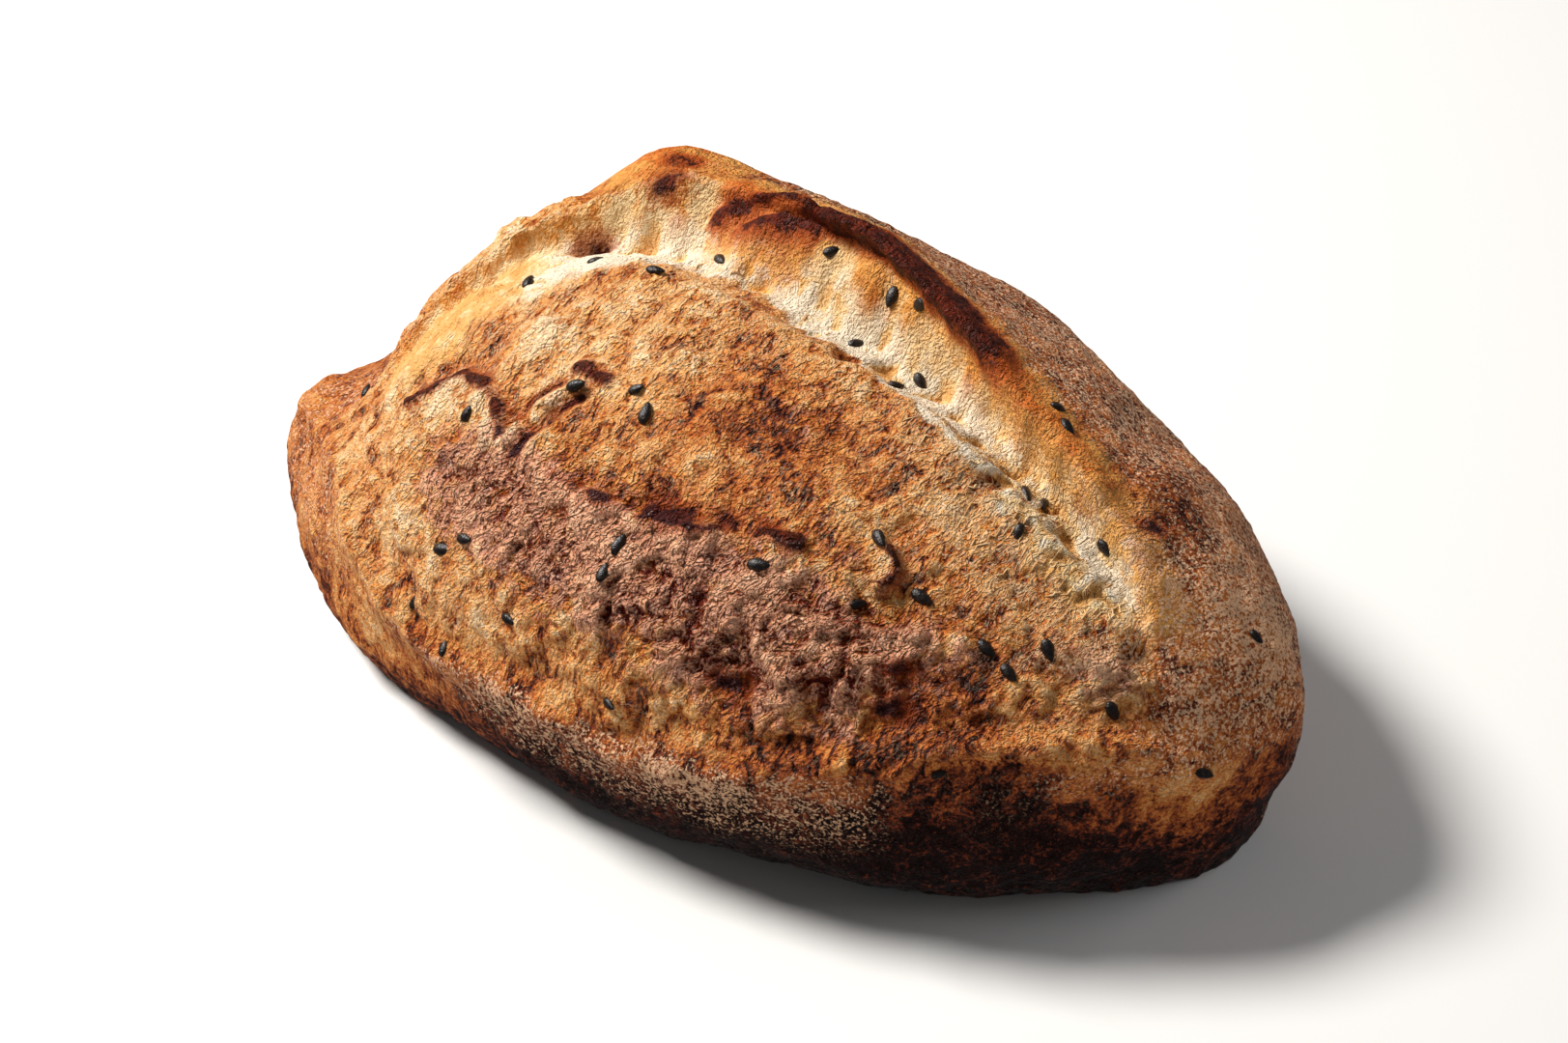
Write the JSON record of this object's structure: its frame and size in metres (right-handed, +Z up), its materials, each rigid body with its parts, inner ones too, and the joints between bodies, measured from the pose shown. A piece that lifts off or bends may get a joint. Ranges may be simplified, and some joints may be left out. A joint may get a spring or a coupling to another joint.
{
  "type": "sourdough loaf",
  "caption": "Whole sourdough batard: flat-based oval loaf with a long burst cut, a raised crisp ear, a pale valley, a crusty rim and seeds in the burst crumb.",
  "frame": {"origin": "middle of the flat base", "axes": "+X along the loaf towards its pointed tip, +Y towards the side of the ear, +Z up"},
  "size_m": [0.2246, 0.141, 0.096],
  "materials": {
    "crust": "dry baked crust, golden brown with dark brown blisters and floury grey-brown skin, matt to satin",
    "seed": "toasted seed, very dark brown, satin"
  },
  "bodies": {
    "root": {"loaf": "crust"}
  },
  "joints": []
}
